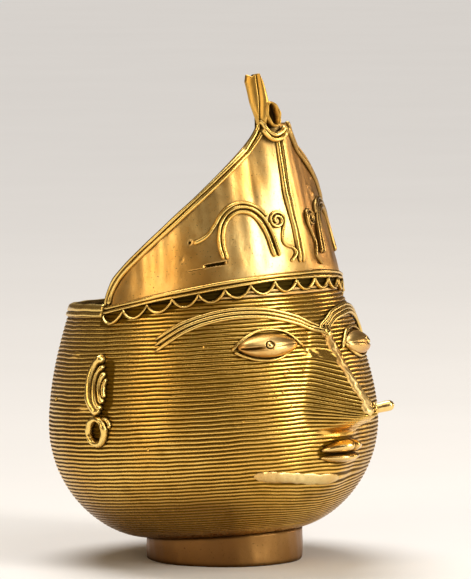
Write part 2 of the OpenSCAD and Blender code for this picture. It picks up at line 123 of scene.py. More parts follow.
def around(a, r, h):
    """Azimuth in degrees, radius and height as a point of the pot's leaning frame."""
    a = np.radians(a)
    return np.stack(np.broadcast_arrays(-r * np.sin(a), -r * np.cos(a), h), -1)


def wall_radius(h):
    upper = np.clip((h - BELLY_H) / (RIM_H - BELLY_H), 0, 1) ** OUTLINE_POWER
    lower = np.clip(1 - np.clip(1 - h / BELLY_H, 0, 1) ** 2, 0, 1) ** (1 / OUTLINE_POWER)
    return np.where(h > BELLY_H, BELLY_R - (BELLY_R - RIM_R) * upper, BOTTOM_R + (BELLY_R - BOTTOM_R) * lower)


def nose_flank(a, h):
    """Share of the nose's height on its flank: 0 at the cheek and 1 on the ridge."""
    foot = lookup(h, NOSE_FOOT)
    top = lookup(h, NOSE_TOP)
    t = np.clip((foot - np.abs(a)) / (foot - top), 0, 1)
    # Concave at the cheek and nearly straight up to the ridge.
    return (NOSE_BELL * t ** 2 * (2 - t) + (1 - NOSE_BELL) * ramp(t, 0, 1)) ** NOSE_HOLLOW


def face_relief(a, h):
    """How far the nose or the muzzle stands out of the round wall."""
    nose = NOSE_OUT * lookup(h, NOSE_RIDGE) * nose_flank(a, h)
    muzzle = MUZZLE_OUT * lookup(h, MUZZLE_RIDGE) * ramp(np.abs(a), MUZZLE_HALF_WIDTH, 0)
    return np.maximum(nose, muzzle)


def on_wall(a, h, lift=0.0):
    return around(a, wall_radius(h) + lift, h)


def on_face(a, h, lift=0.0):
    return around(a, wall_radius(h) + face_relief(a, h) + lift, h)


def base_height(a):
    return RIM_H + BASE_RISE * np.clip(np.cos(np.radians(a)), 0, 1)


def crease(a):
    return np.clip(1 - np.abs(a) / CREASE_SPAN, 0, 1)


def crown_radius(a, rise):
    side = math.tan(math.radians(CROWN_TAPER))
    front = math.tan(math.radians(CREASE_TAPER))
    slope = side + (front - side) * crease(a)
    h = base_height(a) + rise
    return np.where(h < RIM_H, wall_radius(h), RIM_R - np.clip(rise, 0, None) * slope)


def on_crown(a, rise, lift=0.0):
    return around(a + CROWN_TURN, crown_radius(a, rise) + lift, base_height(a) + rise)


def edge_rise(a):
    """Rise of the crown's sloping edge above its base line."""
    b = np.abs(a)
    foot = np.sqrt(np.clip(1 - (b / CROWN_SPAN) ** EDGE_SQUARENESS, 0, 1))
    return np.clip((CROWN_H - EDGE_SLOPE * b + CREASE_RISE * crease(b)) * foot, EDGE_LEAST, CROWN_TOP)


def tilted(points):
    """Points of the leaning frame in the row frame, in metres."""
    c = math.cos(math.radians(LEAN))
    s = math.sin(math.radians(LEAN))
    x, y, z = points[..., 0], points[..., 1], points[..., 2]
    return np.stack([x, y * c + z * s + SET_BACK, -y * s + z * c + FOOT_H], -1) * MM


# ---- Hand-made unevenness ------------------------------------

rng = np.random.default_rng(11)


class Unevenness:
    """A smooth random field over azimuth and height, the same in every run."""

    def __init__(self, waves, azimuth_scale, height_scale):
        self.waves = [
            (rng.normal(0, 1 / azimuth_scale), rng.normal(0, 1 / height_scale), rng.uniform(0, 2 * math.pi))
            for _ in range(waves)
        ]

    def at(self, a, h):
        total = sum(np.sin(round(u * 360) * np.radians(a) + v * h + phase) for u, v, phase in self.waves)
        return total / math.sqrt(len(self.waves) / 2)


# ---- Mesh building -------------------------------------------

def in_scene(name, data):
    """A new object of the scene, made of data."""
    item = bpy.data.objects.new(name, data)
    bpy.context.scene.collection.objects.link(item)
    return item


def signed_volume(points, faces):
    """Volume inside a closed skin. It is negative when the faces look inwards."""
    corners = np.array([(f[0], b, c) for f in faces for b, c in zip(f[1:], f[2:])])
    a, b, c = points[corners[:, 0]], points[corners[:, 1]], points[corners[:, 2]]
    return np.sum(a * np.cross(b, c)) / 6


class Form:
    """Collects closed skins into one mesh. Each point carries a share of shade from 0, open, to 1, hollow."""

    def __init__(self):
        self.points = []
        self.shade = []
        self.faces = []
        self.slots = []
        self.count = 0

    def add(self, points, shade, faces, slots=None):
        """Adds a closed skin and turns its faces outwards. slots is the number of each face's material."""
        self.shade.append(np.broadcast_to(shade, points.shape[:-1]).reshape(-1))
        points = points.reshape(-1, 3)
        if signed_volume(points, faces) < 0:
            faces = [f[::-1] for f in faces]
        self.points.append(points)
        self.faces += [tuple(i + self.count for i in f) for f in faces]
        self.slots += slots or [0] * len(faces)
        self.count += len(points)

    def slab(self, front, back, shade=0.0, back_shade=1.0):
        """A closed skin between two sheets of points with the same rows and columns."""
        rows, cols = front.shape[:2]
        n = rows * cols
        edge = (
            list(range(cols - 1))
            + [r * cols + cols - 1 for r in range(rows - 1)]
            + [(rows - 1) * cols + c for c in range(cols - 1, 0, -1)]
            + [r * cols for r in range(rows - 1, 0, -1)]
        )
        faces = []
        for r in range(rows - 1):
            for c in range(cols - 1):
                i = r * cols + c
                faces.append((i, i + 1, i + cols + 1, i + cols))
                faces.append((i + n, i + cols + n, i + cols + 1 + n, i + 1 + n))
        for k, a in enumerate(edge):
            b = edge[(k + 1) % len(edge)]
            faces.append((b, a, a + n, b + n))
        shades = np.stack([
            np.broadcast_to(shade, front.shape[:2]),
            np.broadcast_to(back_shade, front.shape[:2]),
        ])
        self.add(np.stack([front, back]), shades, faces)

    def tube(self, rings, shade, closed=False):
        """A solid strung through rings of points, with fans at its ends unless it is a closed loop."""
        count, n = rings.shape[:2]
        faces = []
        for i in range(count if closed else count - 1):
            for k in range(n):
                a, b = i * n + k, i * n + (k + 1) % n
                j = -count * n if i == count - 1 else 0
                faces.append((a, b, b + n + j, a + n + j))
        if not closed:
            faces.append(tuple(range(n - 1, -1, -1)))
            faces.append(tuple((count - 1) * n + k for k in range(n)))
        self.add(rings, shade, faces)

    def finish(self, node, finish, materials):
        """The mesh as a piece that stands for a CAD node and rides on the pot."""
        points = tilted(np.concatenate(self.points))
        mesh = bpy.data.meshes.new(node + "_form")
        mesh.from_pydata(points.tolist(), [], self.faces)
        mesh.update()
        # Painted shade and reflection: a share of brown darkening for each point.
        painted_darkening = mesh.attributes.new("painted_darkening", "FLOAT", "POINT")
        painted_darkening.data.foreach_set("value", painted_darkening_at(np.concatenate(self.points)).astype(np.float32))
        shade = mesh.attributes.new("shade", "FLOAT", "POINT")
        shade.data.foreach_set("value", np.concatenate(self.shade).astype(np.float32))
        mesh.polygons.foreach_set("use_smooth", [True] * len(mesh.polygons))
        mesh.polygons.foreach_set("material_index", self.slots)
        for material in materials:
            mesh.materials.append(material)
        piece = in_scene(node + "_form", mesh)
        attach(piece, "root")
        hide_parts(node)
        return piece


def painted_darkening_at(points):
    """Painted shade and reflection in brown: darker low on the wall, less so at the chin, and on the figure's
    left side.
    """
    azimuth = np.degrees(np.arctan2(-points[:, 0], -points[:, 1]))
    height = points[:, 2]
    off_chin = ramp(np.abs(azimuth - 8), 20, 50)
    under_cheek = np.exp(-((azimuth - 48) / 24) ** 2)
    low = (0.1 + 0.4 * off_chin) * ramp(height, 26, 12)
    lowest = (0.08 + 0.42 * off_chin + 0.5 * under_cheek) * ramp(height, 17, 9)
    left_wall = ramp(azimuth, -2, -27) * ramp(azimuth, -175, -135) * (0.15 + 0.35 * ramp(height, 42, 30))
    left_panel = ramp(azimuth, 2, -10) * (0.45 + 0.4 * ramp(azimuth, -70, -40))
    left_panel = left_panel * ramp(height, RIM_H + 4, RIM_H + 12)
    return np.clip(np.maximum(low + lowest, np.maximum(left_wall, left_panel)), 0, 1)


def route(points, steps=6):
    """A smooth route through points."""
    p = np.array([points[0]] + list(points) + [points[-1]], float)
    out = []
    for i in range(1, len(p) - 2):
        for k in range(steps):
            t = k / steps
            p0, p1, p2, p3 = p[i - 1], p[i], p[i + 1], p[i + 2]
            out.append((
                2 * p1 + (p2 - p0) * t + (2 * p0 - 5 * p1 + 4 * p2 - p3) * t * t
                + (3 * p1 - p0 - 3 * p2 + p3) * t * t * t
            ) / 2)
    return np.array(out + [p[-2]])


def mirrored(path, side, axis=0.0):
    """A route of the figure's right side, mirrored about an azimuth for the left side."""
    path = np.array(path, float)
    return path if side == RIGHT else path * [-1, 1] + [2 * axis, 0]


def offset(path, by):
    """A route on the crown or the wall moved sideways by some millimetres."""
    scaled = np.array(path, float) * [MM_PER_DEGREE, 1]
    ahead = np.gradient(scaled, axis=0)
    ahead /= np.linalg.norm(ahead, axis=1)[:, None]
    return (scaled + by * np.stack([-ahead[:, 1], ahead[:, 0]], -1)) / [MM_PER_DEGREE, 1]


WIRE_CORNERS = 14
# Depth of a wire below its route, as a share of its height above it.
WIRE_SINK = 0.45
# Size of a wire near its ends, counted from the tip.
WIRE_TIP = (0.35, 0.78, 0.95)


def lay_wire(form, path, place, width, height, lift=0.0, closed=False, wobble=0.07):
    """Lays a rounded wire along a route on a surface, with the slight unevenness of rolled wax."""
    path = np.array(path, float)
    a, h = path[:, 0], path[:, 1]
    here = place(a, h, lift)
    out = place(a, h, lift + 1) - here
    out /= np.linalg.norm(out, axis=1)[:, None]
    if closed:
        ahead = np.roll(here, -1, 0) - np.roll(here, 1, 0)
    else:
        ahead = np.gradient(here, axis=0)
    ahead /= np.linalg.norm(ahead, axis=1)[:, None]
    across = np.cross(ahead, out)
    count = len(path)
    run = np.arange(count)
    phase = rng.uniform(0, 2 * math.pi, 4)
    turns = 2 * math.pi / count
    if closed:
        swell = 1 + 0.05 * np.sin(3 * turns * run + phase[0]) + 0.04 * np.sin(7 * turns * run + phase[1])
        drift = wobble * np.sin(4 * turns * run + phase[2])
    else:
        swell = 1 + 0.06 * np.sin(run / 5.3 + phase[0]) + 0.04 * np.sin(run / 2.1 + phase[1])
        drift = wobble * (np.sin(run / 7.7 + phase[2]) + 0.5 * np.sin(run / 3.1 + phase[3]))
    here = here + across * drift[:, None]
    if not closed:
        ends = np.ones(count)
        for i, share in enumerate(WIRE_TIP):
            ends[i] = share
            ends[-1 - i] = share
        swell = swell * ends
    angles = np.linspace(0, 2 * math.pi, WIRE_CORNERS, endpoint=False)
    up = np.where(np.sin(angles) > 0, np.sin(angles), WIRE_SINK * np.sin(angles))
    rings = (
        here[:, None]
        + across[:, None] * (np.cos(angles) * width / 2)[None, :, None] * swell[:, None, None]
        + out[:, None] * (up * height)[None, :, None] * swell[:, None, None]
    )
    form.tube(rings, np.clip(1 - np.clip(up, 0, 1) * 1.25, 0, 1) ** 1.5, closed)


# ---- Materials -----------------------------------------------

class Nodes:
    """Short ways to add and join shader nodes."""

    def __init__(self, name):
        self.material = bpy.data.materials.new(name)
        self.material.use_nodes = True
        self.tree = self.material.node_tree
        self.shader = self.tree.nodes["Principled BSDF"]
        self.place = self.node("ShaderNodeTexCoord").outputs["Object"]

    def node(self, kind):
        return self.tree.nodes.new(kind)

    def set(self, socket, value):
        if hasattr(value, "is_linked"):
            self.tree.links.new(value, socket)
        else:
            socket.default_value = value

    def noise(self, scale, detail=4.0, rough=0.6):
        n = self.node("ShaderNodeTexNoise")
        self.set(n.inputs["Vector"], self.place)
        n.inputs["Scale"].default_value = scale
        n.inputs["Detail"].default_value = detail
        n.inputs["Roughness"].default_value = rough
        return n.outputs["Fac"]

    def attribute(self, name):
        n = self.node("ShaderNodeAttribute")
        n.attribute_name = name
        return n.outputs["Fac"]

    def spread(self, value, low, high):
        """value spread so that low becomes 0 and high becomes 1."""
        n = self.node("ShaderNodeMapRange")
        n.interpolation_type = "SMOOTHSTEP"
        self.set(n.inputs["Value"], value)
        n.inputs["From Min"].default_value = low
        n.inputs["From Max"].default_value = high
        return n.outputs["Result"]

    def math(self, operation, *values, clamp=True):
        n = self.node("ShaderNodeMath")
        n.operation = operation
        n.use_clamp = clamp
        for socket, value in zip(n.inputs, values):
            self.set(socket, value)
        return n.outputs[0]

    def mix(self, share, a, b):
        """Colour a with a share of colour b. Each is a socket or red, green and blue."""
        n = self.node("ShaderNodeMix")
        n.data_type = "RGBA"
        self.set(n.inputs["Factor"], share)
        for name, colour in (("A", a), ("B", b)):
            self.set(n.inputs[name], (*colour, 1) if isinstance(colour, tuple) else colour)
        return n.outputs["Result"]


# Brown of the painted shade and reflection, low on the wall and on the figure's left side.
PAINTED_DARK_BROWN = (0.22, 0.10, 0.03)


def cast_brass(name, bright, warm, dark, roughness, hollow_at, mottle, pitting):
    """Hand-finished cast brass: bright where it was rubbed, dark with patina where polish never reached, and
    with painted shade in shadowed hollows and tight corners.

    hollow_at is the span of shade over which the patina and the painted shade come in, mottle the share of
    warm tone and pitting the strength of the fine pits.
    """
    n = Nodes(name)
    n.shader.inputs["Metallic"].default_value = 1.0
    clouds = n.noise(38)
    patches = n.noise(140)
    grain = n.noise(900, 3)
    specks = n.noise(1500, 2, 0.5)
    # Warm clouds, then the painted brown shade and reflection low on the wall and on the figure's left side,
    # then a warm grain.
    colour = n.mix(n.math("MULTIPLY", n.spread(clouds, 0.38, 0.66), mottle), bright, warm)
    colour = n.mix(n.math("MULTIPLY", n.attribute("painted_darkening"), 0.85), colour, PAINTED_DARK_BROWN)
    colour = n.mix(n.math("MULTIPLY", n.spread(grain, 0.5, 0.72), 0.35), colour, warm)
    # Dark patina and painted shade in hollows with an uneven border, patina and painted shade from ambient
    # occlusion in tight corners, and fine dark pits.
    occlusion = n.node("ShaderNodeAmbientOcclusion")
    occlusion.samples = 6
    occlusion.inputs["Distance"].default_value = 0.003
    occlusion_shade = n.math("SUBTRACT", 1.0, occlusion.outputs["AO"])
    uneven = n.math("MULTIPLY_ADD", patches, 0.35, -0.17)
    hollow = n.spread(n.math("ADD", n.attribute("shade"), uneven), *hollow_at)
    deep = n.math("MAXIMUM", hollow, n.math("MULTIPLY", n.spread(occlusion_shade, 0.16, 0.55), 0.85))
    deep = n.math("MAXIMUM", deep, n.math("MULTIPLY", n.spread(specks, 0.66, 0.74), pitting))
    n.set(n.shader.inputs["Base Color"], n.mix(deep, colour, dark))
    rough = n.node("ShaderNodeMapRange")
    n.set(rough.inputs["Value"], patches)
    rough.inputs["To Min"].default_value = roughness - 0.08
    rough.inputs["To Max"].default_value = roughness + 0.12
    rougher = n.math("MULTIPLY_ADD", deep, 0.3, rough.outputs["Result"], clamp=False)
    n.set(n.shader.inputs["Roughness"], rougher)
    bump = n.node("ShaderNodeBump")
    bump.inputs["Strength"].default_value = 0.55
    bump.inputs["Distance"].default_value = 0.00012
    relief = n.math("ADD", n.math("MULTIPLY", grain, 0.7), n.math("MULTIPLY", patches, 0.3))
    n.set(bump.inputs["Height"], relief)
    n.set(n.shader.inputs["Normal"], bump.outputs["Normal"])
    return n.material


thread_brass = cast_brass(
    "thread_brass", bright=(0.93, 0.59, 0.14), warm=(0.74, 0.38, 0.06), dark=(0.13, 0.064, 0.004),
    roughness=0.25, hollow_at=(0.05, 0.34), mottle=0.5, pitting=0.5)
sheet_brass = cast_brass(
    "sheet_brass", bright=(0.92, 0.62, 0.23), warm=(0.78, 0.39, 0.075), dark=(0.05, 0.03, 0.004),
    roughness=0.34, hollow_at=(0.45, 0.8), mottle=0.75, pitting=0.9)
wire_brass = cast_brass(
    "wire_brass", bright=(0.94, 0.66, 0.20), warm=(0.82, 0.46, 0.09), dark=(0.09, 0.048, 0.004),
    roughness=0.25, hollow_at=(0.2, 0.75), mottle=0.4, pitting=0.3)
pellet_brass = cast_brass(
    "pellet_brass", bright=(0.94, 0.69, 0.27), warm=(0.84, 0.44, 0.10), dark=(0.12, 0.06, 0.008),
    roughness=0.2, hollow_at=(0.5, 1.0), mottle=0.5, pitting=0.3)
eye_brass = cast_brass(
    "eye_brass", bright=(0.80, 0.53, 0.19), warm=(0.62, 0.27, 0.04), dark=(0.10, 0.05, 0.006),
    roughness=0.32, hollow_at=(0.35, 0.95), mottle=0.9, pitting=0.5)
strip_brass = cast_brass(
    "strip_brass", bright=(0.94, 0.68, 0.28), warm=(0.72, 0.38, 0.10), dark=(0.16, 0.08, 0.02),
    roughness=0.40, hollow_at=(0.4, 1.0), mottle=1.0, pitting=0.9)
worn_brass = cast_brass(
    "worn_brass", bright=(0.94, 0.74, 0.33), warm=(0.76, 0.47, 0.15), dark=(0.20, 0.11, 0.03),
    roughness=0.34, hollow_at=(0.6, 1.0), mottle=0.9, pitting=0.8)
leaf_brass = cast_brass(
    "leaf_brass", bright=(0.78, 0.47, 0.11), warm=(0.60, 0.32, 0.05), dark=(0.05, 0.026, 0.004),
    roughness=0.36, hollow_at=(0.3, 0.8), mottle=0.7, pitting=0.4)
foot_brass = cast_brass(
    "foot_brass", bright=(0.34, 0.18, 0.055), warm=(0.24, 0.115, 0.03), dark=(0.05, 0.024, 0.006),
    roughness=0.38, hollow_at=(0.6, 1.0), mottle=0.7, pitting=0.7)
inner_brass = cast_brass(
    "inner_brass", bright=(0.20, 0.13, 0.05), warm=(0.13, 0.08, 0.03), dark=(0.04, 0.026, 0.01),
    roughness=0.6, hollow_at=(0.5, 1.0), mottle=0.8, pitting=0.9)


# ---- Wall with its threads -----------------------------------

# Steps across one thread: share of its pitch, and depth of the surface there as a share of the groove.
THREAD_STEPS = [(0, 1.0), (0.14, 0.38), (0.35, 0.05), (0.65, 0.05), (0.86, 0.38)]
LAST_THREAD_DEPTH = 0.3
# Spans of azimuth and the step of the columns in each. They crowd at the nose, where the wall bends most.
WALL_COLUMNS = [(-180, -64, 2.0), (-64, -18, 1.25), (-18, 18, 0.64), (18, 64, 1.25), (64, 179, 2.0)]

# Places where wax was smeared over the threads: centre, half size in degrees and millimetres, and fill.
SMEARS = [
    ((4.5, 64.2), (6.5, 1.6), 1.0),
    ((-3.5, 64.5), (4, 1.5), 0.6),
    ((107.8, 67.7), (2.6, 1.1), 1.0),
    ((98.4, 49.2), (2.6, 1.2), 1.0),
]
# Painted shadow by the ears, inside the ear rings and round the lips: centre and half size.
PAINTED_SHADOWS = [
    ((87, 57.2), (1.5, 9)), ((90.6, 41), (2.4, 3.4)), ((87.6, 46.2), (1.4, 1.8)), ((0, 28.9), (8.6, 4.1)),
    ((7.4, 29.6), (1.5, 1.8)),
]
# Small beads of metal left on the threads: azimuth, height and radius.
BEADS = [
    (12.4, 58.2, 0.55), (18.4, 58.6, 0.45), (20.4, 57.2, 0.4), (22.2, 51.3, 0.45), (24.8, 49.6, 0.4),
    (19.6, 46.1, 0.5), (37.6, 41.8, 0.45), (7.2, 36.7, 0.5), (49.6, 68.7, 0.45),
    (71, 34, 0.5), (120, 52, 0.5), (-60, 47, 0.45), (150, 61, 0.5), (-135, 40, 0.5),
]


def wall_outline():
    """Distance run along the outline from the middle of the bottom to the rim, with radius and height."""
    low = [BELLY_H * (1 - math.sin(math.radians(a))) for a in range(90, 0, -1)]
    high = np.linspace(BELLY_H, RIM_H, 90)
    h = np.concatenate([low, high])
    r = wall_radius(h)
    run = np.concatenate([[0], np.cumsum(np.hypot(np.diff(r), np.diff(h)))])
    return run, r, h


def outward_normals(a, sheet):
    """Unit normals of a sheet of points that goes round the pot."""
    up = np.gradient(sheet, axis=0)
    along = np.roll(sheet, -1, 1) - np.roll(sheet, 1, 1)
    normal = np.cross(up, along)
    normal /= np.linalg.norm(normal, axis=2)[..., None]
    return normal * np.sign(np.sum(normal * around(a, 1.0, 0 * a), axis=2))[..., None]


def thread_sag(a, h):
    """How far the threads hang towards the middle of the face, below the chin patch."""
    return CHIN_SAG * ramp(np.abs(a - 2), 38, 0) * ramp(h, 21.5, 19) * ramp(h, 0, 16)


def smear_at(a, h):
    """How much the threads are filled by smeared wax, from 0 to 1."""
    fill = np.zeros(np.broadcast(a, h).shape)
    for (ca, ch), (wa, wh), amount in SMEARS:
        d = np.hypot((a - ca) / wa, (h - ch) / wh)
        fill = np.maximum(fill, amount * ramp(d, 1.6, 0.6))
    return fill


def thread_fill(a, h, bent_h):
    """How much the threads are filled: by smeared wax, under the nose and on the pot's bottom.

    The nose is smooth underneath, below an edge that runs down from its tip to the cheek.
    """
    edge = 36.5 + 5 * nose_flank(a, np.maximum(bent_h, 41))
    under_nose = ramp(bent_h, edge, edge - 1.5) * ramp(bent_h, 33, 35) * ramp(nose_flank(a, bent_h), 0, 0.2)
    on_bottom = ramp(h, 4.5, 1.5)
    return np.maximum(smear_at(a, h), 0.8 * np.maximum(under_nose, on_bottom))


def wall_shade(a, h, depth, fill):
    """Dark patina in the grooves, a dark band under the crown, and painted shadow by the ears and round the
    lips.
    """
    rise = h - base_height(a - CROWN_TURN)
    in_band = ramp(rise, -7.2, -6) * ramp(rise, -2.2, -3) * (np.abs(a - CROWN_TURN) < CROWN_SPAN)
    shade = np.maximum(np.clip(depth * (1 - fill), 0, 1), 0.82 * in_band)
    # Painted shadow by the ears, inside the ear rings and round the lips, on both sides.
    for (ca, ch), (wa, wh) in PAINTED_SHADOWS:
        for at in (ca, -ca):
            d = np.hypot((a - at) / wa, (h - ch) / wh)
            shade = np.maximum(shade, ramp(d, 1.3, 0.85))
    return shade


def threaded_side(azimuth):
    """Points and shade of the wall's outer side, from the bottom to the rim."""
    run, outline_r, outline_h = wall_outline()
    threads = int(run[-1] / THREAD_PITCH)
    steps = [(i + share, depth) for i in range(threads) for share, depth in THREAD_STEPS]
    steps = np.array(steps + [(threads, LAST_THREAD_DEPTH)])
    depth = steps[:, 1][:, None]
    a, along = np.meshgrid(azimuth, steps[:, 0] * run[-1] / threads)
    h = np.interp(along, run, outline_h)
    sway = Unevenness(14, 18, 2.4)
    groove_depth = Unevenness(12, 10.8, 1.5)
    lumps = Unevenness(10, 5, 1.2)
    # The threads step down towards the nose and waver a little by hand.
    drop = (h - lookup(h, THREAD_DROP)) * nose_flank(a, h)
    waver = 0.06 * sway.at(a, h) * ramp(h, 6, 16) * ramp(h, RIM_H, RIM_H - 4)
    bent_h = h - drop - thread_sag(a, h) + waver
    on_outline = np.interp(along, run, outline_r)
    smooth = around(a, np.where(h > 3, wall_radius(bent_h) + face_relief(a, bent_h), on_outline), bent_h)
    fill = thread_fill(a, h, bent_h)
    # The grooves are a quarter deeper than in part.scad, so that they read as dark lines.
    sunk = depth * THREAD_GROOVE * 1.25 * (1 + 0.12 * groove_depth.at(a, h)) * (1 - 0.85 * fill)
    smeared = smear_at(a, h) * (0.2 + 0.16 * lumps.at(a, h))
    outer = smooth + outward_normals(a, smooth) * (smeared - sunk)[..., None]
    return outer, wall_shade(a, h, depth, fill)


def plain_side(azimuth):
    """Points of the wall's inner side, from the rim to the bottom."""
    upper = np.linspace(RIM_H, BELLY_H, 12)
    lower = BELLY_H * (1 - np.sin(np.radians(np.arange(8, 89, 8))))
    a, h = np.meshgrid(azimuth, np.concatenate([upper, lower]))
    return around(a, wall_radius(h) - WALL_T, np.maximum(h, WALL_T))


def lay_beads(form):
    u, v = np.meshgrid(np.linspace(0, 2 * math.pi, 10, endpoint=False), np.linspace(-0.5, 1.45, 6))
    for a, h, radius in BEADS:
        across = radius * np.cos(v) * np.cos(u) / BELLY_MM_PER_DEGREE
        up = radius * np.cos(v) * np.sin(u)
        form.tube(on_wall(a + across, h + up, 0.8 * radius * np.sin(v)), 0.0)


def build_wall():
    """One skin: out from the middle of the bottom, up the threads to the rim and down inside."""
    azimuth = np.concatenate([np.arange(*span) for span in WALL_COLUMNS])
    outer, outer_shade = threaded_side(azimuth)
    inner = plain_side(azimuth)
    sheets = np.concatenate([outer, inner])
    middles = np.array([[0, 0, 0], [0, 0, WALL_T]], float)
    shade = np.concatenate([outer_shade.reshape(-1), np.full(inner.shape[0] * inner.shape[1], 0.2), [1, 1]])
    rows, columns = sheets.shape[:2]
    faces = []
    slots = []
    for i in range(rows - 1):
        for k in range(columns):
            j = (k + 1) % columns
            faces.append((i * columns + j, i * columns + k, (i + 1) * columns + k, (i + 1) * columns + j))
            slots.append(0 if i < len(outer) else 1)
    last = (rows - 1) * columns
    for k in range(columns):
        j = (k + 1) % columns
        faces.append((k, j, rows * columns))
        faces.append((last + j, last + k, rows * columns + 1))
        slots += [1, 1]
    form = Form()
    form.add(np.concatenate([sheets.reshape(-1, 3), middles]), shade, faces, slots)
    lay_beads(form)
    piece = form.finish("head_wall", "threaded_wall", [thread_brass, inner_brass])
    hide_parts("head_wall", "nose")


# ---- Foot and rim --------------------------------------------

# Places up the foot's outer side and down its inner one: share of its height, and distance outwards.
FOOT_OUTSIDE = [(0.0, -0.35), (0.035, -0.05), (0.12, 0), (0.3, 0), (0.5, 0), (0.7, 0), (0.88, 0), (1.0, 0)]
FOOT_INSIDE = [(1.0, 0), (0.5, 0), (0.06, 0), (0.0, 0.35)]
FOOT_OVERLAP = 0.35

# Section of the rim band: distance out of the wall, height above the band's lower edge, and shade.
BAND_SECTION = [
    (-0.3, -0.1, 1), (BAND_T * 0.7, 0.1, 0.4), (BAND_T, 0.5, 0), (BAND_T, 1.3, 0), (BAND_T * 0.45, 1.7, 0.95),
    (BAND_T, 2.1, 0), (BAND_T, 3.2, 0), (BAND_T * 0.8, 3.9, 0), (BAND_T * 0.1, 4.28, 0.1),
    (-WALL_T * 0.6, 4.25, 0.5), (-WALL_T, 3.8, 1), (-WALL_T - 0.02, 2.5, 1), (-WALL_T * 0.5, 0.6, 1),
]


def build_foot():
    """The upright strip under the pot. Its top follows the leaning bottom."""
    form = Form()
    turn = np.linspace(0, 360, 180, endpoint=False)
    lean = math.radians(LEAN)
    uneven = Unevenness(8, 30, 3)

    def ring(radius, share):
        y = -radius * np.cos(np.radians(turn))
        top = FOOT_H + FOOT_OVERLAP - math.tan(lean) * (y - SET_BACK)
        return np.stack([-radius * np.sin(np.radians(turn)), y, share * top], -1)

    outside = [
        ring(FOOT_R + out + 0.1 * uneven.at(turn, 9 * share) - 0.1, share)
        for share, out in FOOT_OUTSIDE
    ]
    inside = [ring(FOOT_R - FOOT_T + out, share) for share, out in FOOT_INSIDE]
    rings = np.array(outside + inside)
    x, y, z = rings[..., 0], rings[..., 1] - SET_BACK, rings[..., 2] - FOOT_H
    c = math.cos(lean)
    s = math.sin(lean)
    rings = np.stack([x, y * c - z * s, y * s + z * c], -1)
    # Painted shade along the floor, under the pot's bottom and inside.
    shade = np.zeros(rings.shape[:2])
    shade[0] = 0.8
    shade[len(outside) - 1] = 0.9
    shade[len(outside):] = 1
    form.tube(rings.transpose(1, 0, 2), shade.T, closed=True)
    form.finish("foot_ring", "foot_and_rim", [foot_brass])


def build_rim():
    """The smooth lip band round the back of the mouth, with a groove under its edge."""
    form = Form()
    span = 180 - CROWN_SPAN
    turn = np.linspace(180 - span, 180 + span, 120) + CROWN_TURN
    bumps = 0.1 * Unevenness(8, 14, 3).at(turn, 0) - 0.1
    rings = []
    for out, up, _ in BAND_SECTION:
        h = RIM_H - BAND_H + up
        rings.append(around(turn, wall_radius(min(h, RIM_H)) + out, h + bumps))
    form.tube(np.stack(rings, 1), [shade for _, _, shade in BAND_SECTION])
    form.finish("rim_band", "foot_and_rim", [wire_brass])


# ---- Face ----------------------------------------------------

# Shade at the bottom of a cut, for each share of the height that it takes away.
CUT_SHADE = 3.2


def cosine_spaced(count):
    """Numbers from -1 to 1 that crowd towards both ends."""
    return -np.cos(np.linspace(0, math.pi, count))


def dome(form, centre, half_size, bow, place, height, fullness=0.5, pinch=0.6, rows=16, cols=36, dent=None):
    """A pellet with a lens-shaped outline, domed over a surface. dent(u, v) is the share cut away."""
    v, u = np.meshgrid(cosine_spaced(rows), cosine_spaced(cols), indexing="ij")
    a = centre[0] + half_size[0] * u
    h = centre[1] + bow * (1 - u * u) + half_size[1] * v * (1 - u * u + 0.01) ** pinch
    rise = height * np.clip((1 - u * u) * (1 - v * v), 0, 1) ** fullness
    shade = np.clip(1 - rise / height * 2.5, 0, 1) ** 2
    if dent is not None:
        rise = rise * (1 - dent(u, v))
        shade = np.maximum(shade, np.clip(CUT_SHADE * dent(u, v), 0, 1))
    form.slab(place(a, h, 0.12 + rise), place(a, h, -0.6), shade)


EYE = (25.2, 67.7)
EYE_HALF = (11.9, 4.2)
EYE_OUT = {RIGHT: 4.6, LEFT: 4.2}
EYE_DROP = {RIGHT: 0, LEFT: 2}
PUPIL_OFFSET = (0.9, 0.4)
PUPIL_HALF = (1.2, 1.15)
PUPIL_OUT = 0.9
UPPER_LID = [(39.2, 66.7), (36, 69.4), (31.4, 72), (26.4, 73.2), (21.2, 73.1), (16.2, 71.6), (10.2, 66.3)]
LOWER_LID = [(38.4, 66.2), (34.8, 64.6), (30, 63.1), (24.8, 62.7), (20.2, 63.6), (16, 65.8), (13, 68)]
BROWS = {
    RIGHT: [(68, 70.1), (56, 76.2), (41, 79.3), (25, 79.2), (12, 76.4), (5, 73.6), (-2, 70.6)],
    LEFT: [(51, 66), (47, 71), (39.5, 75.6), (27, 78), (12, 76.4), (5, 73.6), (-2, 70.6)],
}
SIDE_NAME = {RIGHT: "right", LEFT: "left"}


def eyeball_lift(a, h, side):
    u = (np.abs(a) - EYE[0]) / EYE_HALF[0]
    v = (h - EYE[1] + EYE_DROP[side]) / EYE_HALF[1]
    return EYE_OUT[side] * np.sqrt(np.clip((1 - u * u) * (1 - v * v), 0, 1))


def eye_cuts(u, v):
    """The slanting cut across an eyeball, deepest at its outer corner, and the hollow round the pupil."""
    slant = -0.05 - 0.24 * u
    depth = 0.07 + 0.30 * ramp(u, 0.05, 0.55)
    width = 0.10 + 0.06 * ramp(u, 0, 1)
    cut = depth * np.exp(-((v - slant) / width) ** 2) * ramp(np.abs(u), 0.97, 0.87)
    across = (u * EYE_HALF[0] - PUPIL_OFFSET[0]) / PUPIL_HALF[0]
    up = (v * EYE_HALF[1] - PUPIL_OFFSET[1]) / PUPIL_HALF[1]
    hollow = 0.34 * ramp(np.hypot(across, up), 1.35, 1)
    return np.maximum(cut, hollow)


